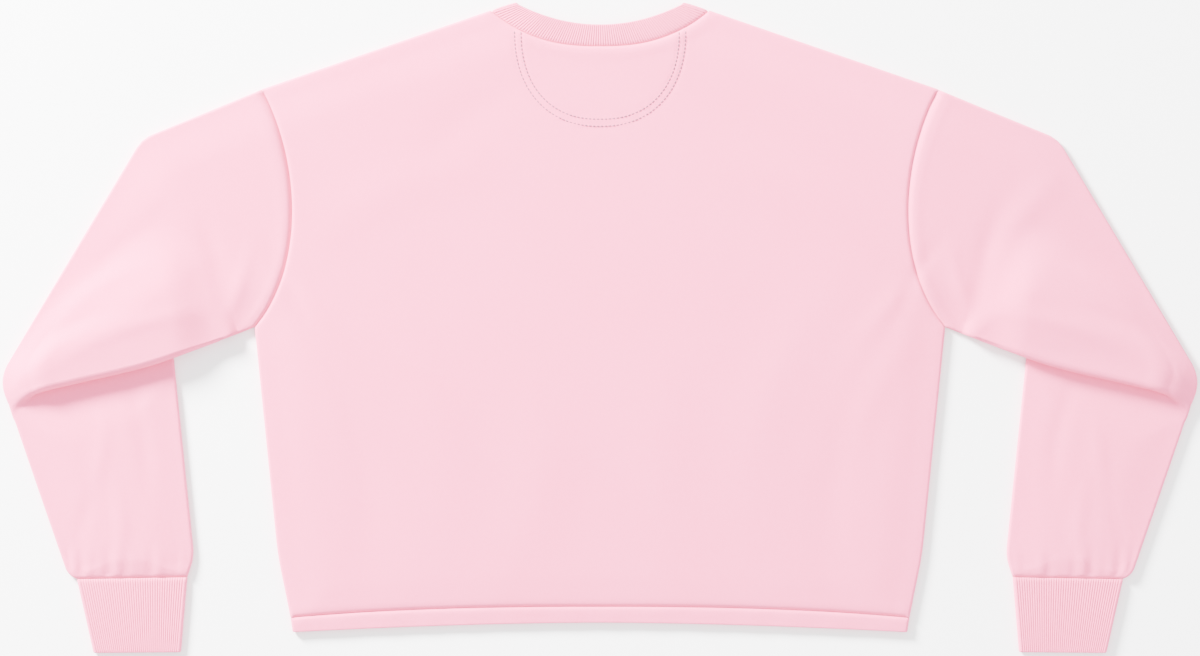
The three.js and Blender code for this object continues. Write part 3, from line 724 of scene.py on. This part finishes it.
def upper_rows():
    fold_ends = first_fold(np.array([0.0, 1.0]))
    lip = fold_ends[1] + (UNDERARM[1] - fold_ends[1]) * FOLD_LIP
    rows = []
    for stop in row_stops(*UPPER["rows"]):
        turned = 0 < stop < 1
        out = fold_ends[0] if stop == 1 else along(overarm, stop)
        inn = UNDERARM[0] + (UNDERARM[1] - UNDERARM[0]) * stop * UNDERARM_SHARE
        if turned:
            inn = inn - underarm_out * HALF_TUBE
        if stop == 1:
            inn = lip
        bends = [
            (lambda share: along(armhole, share), (1 - stop) ** ROW_FADE),
            (first_fold, stop**ROW_FADE),
        ]
        points, shares = bent_row(out, inn, bends, 0 if turned else HALF_TUBE)
        if stop == 0:
            points[:, 0] += SEAM_GAP / 2
        rows.append(with_height(points, HALF_TUBE + lift_at(points, shares)))
    return with_normals(rows)


def tuck_rows(turn_steps=10, middle_steps=22):
    ends = first_fold(np.array([0.0, 1.0]))
    shares = row_shares(np.linalg.norm(ends[1] - ends[0]))
    angle, radius, height = turn_at(shares)
    fold, second = first_fold(shares), second_fold(shares)
    under = fold + (radius * np.sin(angle))[:, None] * crease_down
    start = second - (radius * np.sin(angle))[:, None] * crease_down
    rows, normals = [], []
    for step in np.arange(1, turn_steps + 1) / turn_steps:
        turned = angle * step
        normals.append(facing(turned, crease_down))
        points = fold + (radius * np.sin(turned) * bulge_at(shares))[:, None] * crease_down
        drop = radius * (1 - np.cos(turned))
        rows.append(with_height(points, HALF_TUBE + height - drop - droop_at(points)))
    for part in np.arange(1, middle_steps + 1) / middle_steps:
        points = under + (start - under) * part
        run = TUCK_LEAST * np.sin(angle) * (1 - part)
        rest = radius * (1 - np.cos(angle))
        normals.append(facing(angle, crease_down))
        rows.append(with_height(points, HALF_TUBE + rest + run - droop_at(points)))
    grown = smooth(0, TUCK_FULL, shares)[:, None]
    down = units(crease_down * (1 - grown) + second_down * grown)
    for step in np.arange(1, turn_steps + 1) / turn_steps:
        left = angle * (1 - step)
        normals.append(facing(left, down))
        points = start + (radius * (np.sin(angle) - np.sin(left)))[:, None] * down
        rows.append(with_height(points, HALF_TUBE + radius * (1 - np.cos(left))))
    return rows, normals


def forearm_rows():
    start = second_fold(np.array([0.0]))[0]
    below = forearm_out[forearm_out[:, 1] < start[1] - FOREARM["start"]]
    edge = even(np.concatenate([[start], below]))
    rows = []
    for stop in row_stops(*FOREARM["rows"]):
        bends = [(second_fold, (1 - stop) ** 2)]
        points, _ = bent_row(along(edge, stop), along(forearm_in, stop), bends)
        if stop == 1:
            points[:, 1] += SEAM_GAP / 2
        rows.append(with_height(points, HALF_TUBE))
    return with_normals(rows)


def nearest(lines, points):
    return np.min([distance_to(line, points) for line in lines], axis=0)


def forearm_loft(points):
    edge = nearest([forearm_out, forearm_in], points)
    covered = (points - along(crease, 0.5)) @ crease_down - FOREARM["covered"]
    seam = FOREARM["cuff_slope"] * (points[..., 1] - PLACE["cuff_seam_in"][1])
    return LOFT * smooth(0, LOFT_REACH, np.min([edge, covered, seam], axis=0))


RIM = np.radians([72, 54, 36, 18, 0, -18, -36, -54, -72])  # points round a rolled edge


def flat_rings(mids, normals, above, below, outs=None):
    """Rings round a flattened tube: over it, round the inner edge, under it and round the outer edge.

    outs gives a share for each ring, and the direction that its inner edge turns towards.
    """
    top = mids + normals * above[..., None]
    bottom = mids - normals * below
    sides = []
    for edge, inside, k in ((-1, -2, 1), (0, 1, 0)):
        out = units(mids[:, edge] - mids[:, inside])
        if outs is not None and k == 1:
            out = units(out + (outs[1] - out) * outs[0][:, None])
        centre, normal = mids[:, edge][:, None], normals[:, edge][:, None]
        high = above[:, edge][:, None, None] * np.clip(np.sin(RIM), 0, 1)[None, :, None]
        low = below * np.clip(np.sin(RIM), -1, 0)[None, :, None]
        reach = below * np.cos(RIM)[None, :, None]
        sides.append(centre + out[:, None] * reach + normal * (high + low))
    return np.concatenate([top, sides[0], bottom[:, ::-1], sides[1][:, ::-1]], axis=1)


def gathers(points):
    """Small soft puckers where the forearm is eased into the cuff."""
    x, above = points[..., 0], points[..., 1] - PLACE["cuff_seam_in"][1]
    fade = smooth(0, GATHER["start"], above) * (1 - smooth(GATHER["full"], GATHER["end"], above))
    wave = np.sin(x / 2.9 + 0.8 * np.sin(x / 7.0)) + 0.6 * np.sin(x / 1.9 + 1.3)
    return GATHER["height"] * fade * wave


def upper_shape(points):
    """Hollows, ridges and the armhole seam of the upper sleeve."""
    inside = smooth(0, UPPER["inside"], nearest([overarm, crease], points))
    underarm = np.abs(points[..., 1] - UPPER["underarm"]) * UPPER["underarm_slope"]
    fade = smooth(0, FLAT_TUBE, np.minimum(distance_to(overarm, points), underarm))
    seam = seam_shape(distance_to(armhole, points, 8), RIDGE_SHARE["sleeve"])
    return creases_at(points) * inside + seam * fade


def forearm_shape(points):
    """Hollows, ridges, gathers and the cuff seam of the forearm."""
    inside = smooth(0, FOREARM["inside"], nearest([forearm_out, forearm_in], points))
    cuff_line = np.array([PLACE["cuff_seam_out"], PLACE["cuff_seam_in"]])
    seam = seam_shape(distance_to(cuff_line, points, 1), RIDGE_SHARE["cuff"])
    return creases_at(points) * inside + gathers(points) * smooth(0, 0.3, inside) + seam


def sleeve_cut(rows):
    """Flat coordinates of the sleeve's cloth: across it, and down its length."""
    middle = rows.shape[1] // 2
    across = run_along(rows)
    across -= across[:, middle][:, None]
    down = run_along(rows[:, middle])
    return np.stack([across, np.broadcast_to(down[:, None], across.shape)], axis=-1)


def ring_cut(cut):
    """The same coordinates round a ring of a flattened tube."""
    last, rim_wide = cut[:, -1:, 0], 6
    wide = last - cut[:, :1, 0]
    across = last + np.linspace(1, rim_wide - 1, len(RIM))
    right = np.stack([across, np.broadcast_to(cut[:, -1:, 1], across.shape)], axis=-1)
    under = cut[:, ::-1].copy()
    under[..., 0] = last + rim_wide + (last - under[..., 0])
    left = right.copy()
    left[..., 0] += wide + rim_wide
    return np.concatenate([cut, right, under, left], axis=1)


def mirrored(points, side):
    return points * np.array([-1, 1, 1]) if side == "left" else points


def sleeve(side):
    (upper, first), (tuck, turning), (forearm, last) = upper_rows(), tuck_rows(), forearm_rows()
    rows = np.array([*upper, *tuck, *forearm])
    normals = np.array([*first, *turning, *last])
    flat = rows[..., :2]
    up, low = len(upper), len(upper) + len(tuck)
    loft, shape = np.zeros((2, *rows.shape[:2]))
    loft[:up] = loft_at(flat[:up])
    loft[low:] = forearm_loft(flat[low:])
    shape[:up] = upper_shape(flat[:up])
    shape[low:] = forearm_shape(flat[low:])
    share = np.zeros(len(rows))
    share[1 : up - 1] = 1
    share[up - 1 : up + 1] = RIM_TURNS
    outs = (share, np.array([*underarm_out, 0.0]))
    half, thin = HALF_TUBE, HALF_TUBE - FLEECE
    outer = flat_rings(rows, normals, half + loft + shape, half, outs)
    hollows = np.minimum(shape, 0) * INNER_HOLLOWS
    inner = flat_rings(rows, normals, thin + loft + hollows, thin, outs)
    cut = ring_cut(sleeve_cut(rows))
    rings, cuts = np.concatenate([outer, inner[::-1]]), np.concatenate([cut, cut[::-1]])
    points, quads, uv = loop(rings, cuts)
    return mesh_piece(side + "_sleeve_cloth", mirrored(points, side), quads, uv, side + "_sleeve")


# Ribbed pieces


def rib_wave(count):
    """Heights over one side of a rib knit: round ribs with narrow valleys."""
    phase = np.arange(count * SAMPLES_A_RIB + 1) / SAMPLES_A_RIB
    return RIB_DEPTH * (np.abs(np.cos(math.pi * phase)) ** 0.7 - 1)


def rib_share(down):
    """Ribs are half as deep beside the seam."""
    return 1 if down > 1 else 0.5


def folded_end(length, middle, rounding, degrees):
    """Stations round the folded end of a band: the distance down it, and the height."""
    return [
        (length - rounding + rounding * math.sin(angle), middle + rounding * math.cos(angle))
        for angle in np.radians(degrees)
    ]


def band_ring(points, above, reach, cut_wide, cut_down):
    """One ring of a flat doubled band, and its flat coordinates."""
    mids = with_height(points, HALF_TUBE)[None]
    up = np.broadcast_to([0, 0, 1.0], mids.shape)
    ring = flat_rings(mids, up, above[None], reach)[0]
    position = np.linspace(0, cut_wide, len(ring))
    return ring, np.stack([position, np.full(len(ring), cut_down)], axis=-1)


def cuff(side):
    wave = rib_wave(CUFF_RIBS)
    share = np.linspace(0, 1, len(wave))[:, None]
    length = PLACE["cuff_seam_out"][1] - PLACE["cuff_end_out"][1]
    rounding = CUFF_WALL / 2
    middle = HALF_TUBE - rounding
    stations = [(down, HALF_TUBE) for down in (SEAM_GAP / 2, 0.5, 1.0, 1.6, 2.3, 3.2)]
    stations += [(down, HALF_TUBE) for down in np.linspace(4.5, length - 4, 22)]
    stations += folded_end(length, middle, rounding, [0, 20, 40, 60, 90, 120, 150, 180])
    stations += [(down, HALF_TUBE - CUFF_WALL) for down in (length * 0.7, length * 0.35, SEAM_GAP / 2)]
    rings, cuts, rib_shade_mask = [], [], []
    for down, reach in stations:
        t = down / length
        out = place("cuff_seam_out") * (1 - t) + place("cuff_end_out") * t
        inn = place("cuff_seam_in") * (1 - t) + place("cuff_end_in") * t
        wide = np.linalg.norm(inn - out)
        inset = HALF_TUBE / wide
        outside = reach > middle - 1e-6
        ribs = wave * outside * rib_share(down)
        above = reach + ribs
        if outside:
            above += CUFF_SEAM * seam_shape(down, 0) + CUFF_BULGE * math.sin(math.pi * min(1, t))
        points = out + (inn - out) * (inset + (1 - 2 * inset) * share)
        ring, cut = band_ring(points, above, reach, 2 * wide, down if outside else 2 * length - down)
        under = slice(len(wave) + len(RIM), 2 * len(wave) + len(RIM))
        ring[under, 2] -= ribs * UNDER_RIBS
        rings.append(ring)
        cuts.append(cut)
        # How high each point stands on its rib: the mask for the painted shade in the valleys
        on_rib, edge = 1 + wave / RIB_DEPTH * outside, np.ones(len(RIM))
        rib_shade_mask.append(np.concatenate([on_rib, edge, on_rib[::-1], edge]))
    points, quads, uv = loop(rings, cuts)
    points = mirrored(points, side)
    return mesh_piece(side + "_cuff_rib", points, quads, uv, side + "_cuff", rib_shade_mask)


def hem_band():
    shares = np.linspace(-1, 1, 260)
    deep = LINE["hem_seam"][0] - LINE["hem_edge"][0]
    half, inner = HALF_TUBE, HALF_TUBE - FLEECE
    middle = (half + inner) / 2
    stations = [(down, half) for down in (SEAM_GAP / 2, 0.4, 0.8, 1.3, 2.0, 3.0, 4.6, 6.6, 8.6, 10.6)]
    stations += folded_end(deep, middle, FLEECE / 2, [0, 18, 36, 54, 72, 90, 120, 150, 180])
    stations += [(down, inner) for down in (deep * 0.5, SEAM_GAP / 2)]
    made = []
    for down, reach in stations:
        t = down / deep
        wide = PLACE["hem_seam"][0] * (1 - t) + PLACE["hem_corner"][0] * t - half
        points = line_at("hem_seam", shares) * (1 - t) + line_at("hem_edge", shares) * t
        points[:, 0] = wide * shares
        outside = reach > middle - 1e-6
        above = reach + loft_at(points)
        if outside:
            x = points[:, 0]
            ripple = np.sin(x / 6.1 + 0.7 * np.sin(x / 23)) * min(1, down / 5)
            above += seam_shape(down, RIDGE_SHARE["hem_band"]) + HEM_RIPPLE * ripple
        made.append(band_ring(points, above, reach, 4 * wide, down if outside else 2 * deep - down))
    return mesh_piece("hem", *loop(*zip(*made)), node="hem_band")


neck_out = unit(-left_of(place("neck_tip") - place("neck_seam")))
UP = np.array([0, 0, 1.0])


def neck_turn(line):
    """The share of a neck line that is left before the band turns over at the shoulder."""
    shares = np.linspace(1, 0.8, 2001)
    near = (line_at(line, shares) - place("neck_tip")) @ neck_out
    return shares[np.argmax(near <= -RIB_BAND / 2 - NECK_FOLD)]


def neck_lines(side, share):
    """The band's seam and its free edge on the back or the front, at shares of their length."""
    seam, edge = side + "_neck_seam", side + "_neck_edge"
    seam_points = beside_line(seam, share * neck_turn(seam), SEAM_GAP / 2)
    return seam_points, line_at(edge, share * neck_turn(edge))


def neck_section(seam, edge, normal, height, lift, run):
    """One cut across the band, from its seam over the outer face to the edge and back below."""
    half = RIB_BAND / 2
    wide = np.linalg.norm(edge - seam)
    out = (edge - seam) / wide
    inset = wide - half
    face = []
    for down in [0, 0.4, 0.8, 1.4, 2.2, *np.linspace(3.4, inset - 1, 7), inset]:
        rise = half + lift * rib_share(down) + NECK_SEAM * seam_shape(down, 0)
        face.append((down, rise + NECK_BULGE * math.sin(math.pi * down / wide)))
    for angle in np.radians([80, 60, 40, 20, 0, -20, -40, -60, -80]):
        rise = half + lift * 0.8 if angle > 0 else half
        face.append((inset + half * math.cos(angle), rise * math.sin(angle)))
    face += [(inset, -half), (inset * 0.5, -half), (0, -half)]
    points = [[*(seam + out * down), height] + normal * rise for down, rise in face]
    cut = [(run, down if rise > 0 else 2 * wide - down) for down, rise in face]
    # The rib height, kept as the mask for the painted shade in the rib valleys
    rib_shade_mask = [1 + lift / RIB_DEPTH if rise > 0 else 1.0 for _, rise in face]
    return points, cut, rib_shade_mask


def neck_turn_over(sign):
    """Cuts round the turn from the back of the band to its front, at one shoulder."""
    lifts = rib_wave(4)
    steps = len(lifts) - 1
    ends = [neck_lines(side, np.array([1.0])) for side in ("back", "front")]
    mirror = np.array([sign, 1])
    cuts = []
    for k in range(1, steps):
        turn = math.pi * k / steps
        past = neck_out * NECK_FOLD * math.sin(turn)
        seam, edge = (a[0] + (b[0] - a[0]) * k / steps + past for a, b in zip(*ends))
        normal = np.array([*(neck_out * mirror * math.sin(turn)), math.cos(turn)])
        height = RIB_BAND / 2 + NECK_FOLD + NECK_FOLD * math.cos(turn)
        cuts.append((seam * mirror, edge * mirror, normal, height, lifts[k]))
    return cuts


def neck_back():
    lifts = rib_wave(NECK_BACK_RIBS)
    seams, edges = neck_lines("back", np.linspace(-1, 1, len(lifts)))
    heights = NECK_BACK_MIDDLE + loft_at(seams)
    return [(seam, edge, UP, *rest) for seam, edge, *rest in zip(seams, edges, heights, lifts)]


def neck_front():
    """Cuts along the front of the neck, where the ribs face down."""
    lifts = rib_wave(NECK_FRONT_RIBS)
    even_shares = np.linspace(1, -1, 4000)
    run = run_along(line_at("front_neck_seam", even_shares))
    shares = np.interp(np.linspace(0, run[-1], len(lifts)), run, even_shares)
    seams, edges = neck_lines("front", shares)
    return [(seam, edge, -UP, RIB_BAND / 2, lift) for seam, edge, lift in zip(seams, edges, lifts)]


def neckband():
    back, front = neck_back(), neck_front()
    turn_step = NECK_CUT["turn_step"]
    parts = [
        (back, NECK_CUT["back"] / len(back)),
        (neck_turn_over(1), turn_step),
        (front, NECK_CUT["front"] / len(front)),
        (neck_turn_over(-1)[::-1], turn_step),
    ]
    made, run = [], 0.0
    for cuts, step in parts:
        for cut in cuts:
            made.append(neck_section(*cut, run))
            run += step
    rings, cuts, rib_shade_mask = zip(*made)
    return mesh_piece("neck_rib", *loop(rings, cuts), node="neckband", rib_shade_mask=rib_shade_mask)


# Materials


def colour(hex_text):
    parts = [int(hex_text[k : k + 2], 16) / 255 for k in (0, 2, 4)]
    return (*[p / 12.92 if p <= 0.04045 else ((p + 0.055) / 1.055) ** 2.4 for p in parts], 1.0)


class Nodes:
    """Short ways to add and join the nodes of one material."""

    def __init__(self, name):
        self.material = bpy.data.materials.new(name)
        self.material.use_nodes = True
        self.tree = self.material.node_tree
        self.shader = self.tree.nodes["Principled BSDF"]

    def add(self, kind, **values):
        node = self.tree.nodes.new(kind)
        for key, value in values.items():
            setattr(node, key, value)
        return node

    def put(self, value, socket):
        if isinstance(value, bpy.types.NodeSocket):
            self.tree.links.new(value, socket)
        else:
            socket.default_value = value

    def fill(self, node, **values):
        """Sets inputs of a node, each named with _ for a space."""
        for name, value in values.items():
            self.put(value, node.inputs[name.replace("_", " ")])

    def set(self, **values):
        self.fill(self.shader, **values)

    def math(self, operation, *values):
        node = self.add("ShaderNodeMath", operation=operation)
        for value, socket in zip(values, node.inputs):
            self.put(value, socket)
        return node.outputs[0]

    def plus(self, first, second):
        return self.math("ADD", first, second)

    def times(self, first, second):
        return self.math("MULTIPLY", first, second)

    def noise(self, vector, scale, detail=2.0, roughness=0.5):
        node = self.add("ShaderNodeTexNoise")
        self.fill(node, Vector=vector, Scale=scale, Detail=detail, Roughness=roughness)
        return node.outputs["Fac"]

    def mix(self, factor, first, second):
        node = self.add("ShaderNodeMix", data_type="RGBA")
        for value, k in ((factor, 0), (first, 6), (second, 7)):
            self.put(value, node.inputs[k])
        return node.outputs[2]

    def range(self, value, low, high, to_low=0.0, to_high=1.0):
        node = self.add("ShaderNodeMapRange", clamp=True)
        for item, socket in zip((value, low, high, to_low, to_high), node.inputs):
            self.put(item, socket)
        return node.outputs[0]

    def space(self):
        return self.add("ShaderNodeTexCoord").outputs["Object"]

    def bump(self, height, strength, distance):
        node = self.add("ShaderNodeBump")
        self.fill(node, Strength=strength, Distance=distance, Height=height)
        self.set(Normal=node.outputs[0])


def knit_height(nodes, across, down, wale, course):
    """Columns of small V shaped stitches."""
    column_at = nodes.math("FRACT", nodes.times(across, 1 / wale))
    arm = nodes.math("ABSOLUTE", nodes.math("SUBTRACT", column_at, 0.5))
    row_at = nodes.plus(nodes.times(down, 1 / course), nodes.times(arm, 1.5))
    leg = nodes.math("SINE", nodes.times(nodes.math("FRACT", row_at), math.pi))
    column = nodes.math("SINE", nodes.times(arm, 2 * math.pi))
    return nodes.times(nodes.math("POWER", leg, 0.6), nodes.math("POWER", column, 0.5))


def cloth(name, light, dark, wale, course, knit, fuzz, valley_shade=None):
    nodes = Nodes(name)
    parts = nodes.add("ShaderNodeSeparateXYZ")
    nodes.put(nodes.add("ShaderNodeUVMap", uv_map="Cut").outputs[0], parts.inputs[0])
    space = nodes.space()
    wobble = nodes.noise(space, 160, 1.0)
    across = nodes.plus(parts.outputs[0], nodes.times(wobble, 0.0006))
    down = nodes.plus(parts.outputs[1], nodes.times(wobble, 0.0005))
    stitch = knit_height(nodes, across, down, wale, course)
    fibres = nodes.noise(space, 2600, 3.0, 0.7)
    mottle = nodes.noise(space, 420, 3.0, 0.6)
    broad = nodes.noise(space, 9)
    tone_and_knit_shade = nodes.plus(nodes.times(mottle, 0.45), nodes.times(broad, 0.25))
    # Painted shade: the colour is lighter on the raised stitch legs and darker between them, on top of
    # the random mottle and broad tone
    tone_and_knit_shade = nodes.plus(tone_and_knit_shade, nodes.times(stitch, 0.3))
    shade = nodes.mix(nodes.range(tone_and_knit_shade, 0.25, 0.75), colour(dark), colour(light))
    # Painted shade: the low rib valleys are mixed towards a darker colour
    if valley_shade:
        rib_shade_mask = nodes.add("ShaderNodeAttribute", attribute_name="RibShadeMask").outputs["Fac"]
        shade = nodes.mix(nodes.range(rib_shade_mask, 0.1, 0.75), colour(valley_shade), shade)
    nodes.set(Base_Color=shade, Roughness=nodes.range(fibres, 0.3, 0.7, 0.86, 0.96))
    nodes.set(Specular_IOR_Level=0.2, Sheen_Weight=0.14, Sheen_Roughness=0.5)
    nodes.set(Sheen_Tint=colour("FFE3EA"))
    height = nodes.plus(nodes.times(stitch, knit), nodes.times(fibres, fuzz))
    nodes.bump(height, 0.55, 0.0005)
    return nodes.material


def fleece_material():
    knit = {"wale": 0.0010, "course": 0.0009, "knit": 0.8, "fuzz": 0.35}
    return cloth("fleece_face", "FF75A5", "FC6897", **knit)


def rib_material():
    knit = {"wale": 0.0011, "course": 0.0010, "knit": 0.9, "fuzz": 0.3}
    # The third colour is painted shade for the rib valleys
    return cloth("rib_knit", "FF75A4", "F96895", **knit, valley_shade="DC5C84")


def thread_material():
    nodes = Nodes("mauve_thread")
    twist = nodes.add("ShaderNodeTexWave", wave_type="BANDS", bands_direction="DIAGONAL")
    nodes.fill(twist, Vector=nodes.space(), Scale=900.0)
    strand = twist.outputs["Fac"]
    nodes.set(Base_Color=nodes.mix(strand, colour("61374A"), colour("7C4A5E")))
    nodes.set(Roughness=0.55, Sheen_Weight=0.3)
    nodes.bump(strand, 0.4, 0.0001)
    return nodes.material


def floor_material():
    nodes = Nodes("pale_floor")
    grain = nodes.noise(nodes.space(), 30, 3.0)
    nodes.set(Base_Color=nodes.mix(grain, colour("FAFAFA"), colour("FDFDFD")), Roughness=0.9)
    return nodes.material


# Floor, light and camera

PHOTO_WIDTH = 1.008  # metres across the picture, 1200 pixels of 0.84 mm
CLOTH_TOP = 0.004
FLOOR_REACH = 6.0
WORLD_LIGHT = 2.8


def floor():
    mesh = bpy.data.meshes.new("floor")
    corners = [(x * FLOOR_REACH, y * FLOOR_REACH, 0) for x, y in ((-1, -1), (1, -1), (1, 1), (-1, 1))]
    mesh.from_pydata(corners, [], [(0, 1, 2, 3)])
    obj = new_object("floor", mesh)
    obj.location.z = -0.0002
    obj.data.materials.append(floor_material())


def lamp(name, place_at, size, power):
    """A round lamp that faces the middle of the garment."""
    data = bpy.data.lights.new(name, "AREA")
    data.shape = "DISK"
    data.size = size
    data.energy = power
    obj = new_object(name, data)
    obj.location = place_at
    x, y, z = unit(np.array(place_at))
    obj.rotation_euler = (math.acos(z), 0, math.atan2(-y, -x) - math.pi / 2)


def light():
    world = bpy.data.worlds.new("studio")
    bpy.context.scene.world = world
    world.use_nodes = True
    back = world.node_tree.nodes["Background"]
    back.inputs[0].default_value = (1, 1, 1, 1)
    back.inputs[1].default_value = WORLD_LIGHT
    lamp("key", (-2.2, 2.1, 1.25), 0.9, 1450)
    lamp("fill", (1.9, -0.7, 2.2), 2.2, 50)


def camera():
    data = bpy.data.cameras.new("camera")
    obj = new_object("camera", data)
    data.sensor_width = 36
    data.lens = 110
    distance = PHOTO_WIDTH * data.lens / data.sensor_width
    obj.location = (0, 0, distance + CLOTH_TOP)
    bpy.context.scene.camera = obj


camera()
light()
floor()

fleece, rib, thread = fleece_material(), rib_material(), thread_material()

back = back_panel()
front = front_panel()
moon = half_moon()
hem = hem_band()
collar = neckband()
sleeves = [sleeve("right"), sleeve("left")]
cuffs = [cuff("right"), cuff("left")]
sewing = stitches()

for piece in [back, front, moon, hem, *sleeves]:
    piece.data.materials.append(fleece)
for piece in [collar, *cuffs]:
    piece.data.materials.append(rib)
sewing.data.materials.append(thread)
